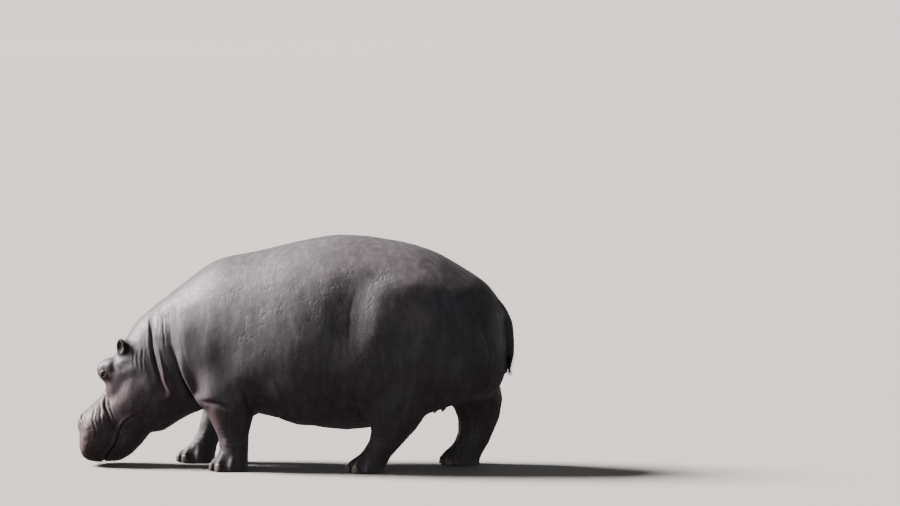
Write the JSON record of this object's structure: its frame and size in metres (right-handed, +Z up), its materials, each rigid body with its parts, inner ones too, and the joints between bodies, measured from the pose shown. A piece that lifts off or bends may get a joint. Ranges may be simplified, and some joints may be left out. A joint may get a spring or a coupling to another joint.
{
  "type": "hippopotamus",
  "caption": "Life-size still model of an adult female hippopotamus standing on four feet with her head lowered to drink.",
  "frame": {"origin": "middle of the bounding box at floor level", "axes": "the animal faces -X, her left side is towards -Y, +Z is up"},
  "size_m": [2.8252, 1.0794, 1.5042],
  "materials": {
    "skin": "dull, finely creased hide",
    "ear_skin": "dull hide",
    "nail": "dark horn, satin",
    "eye": "wet gloss"
  },
  "bodies": {
    "root": {"trunk": "skin", "neck": "skin", "head": "skin", "tail": "skin", "leg_front_left": "skin", "leg_front_right": "skin", "leg_hind_left": "skin", "leg_hind_right": "skin", "ear_left": "ear_skin", "ear_right": "ear_skin", "eye_left": "eye", "eye_right": "eye", "nail_front_left_1": "nail", "nail_front_left_2": "nail", "nail_front_left_3": "nail", "nail_front_left_4": "nail", "nail_front_right_1": "nail", "nail_front_right_2": "nail", "nail_front_right_3": "nail", "nail_front_right_4": "nail", "nail_hind_left_1": "nail", "nail_hind_left_2": "nail", "nail_hind_left_3": "nail", "nail_hind_left_4": "nail", "nail_hind_right_1": "nail", "nail_hind_right_2": "nail", "nail_hind_right_3": "nail", "nail_hind_right_4": "nail"}
  },
  "joints": []
}
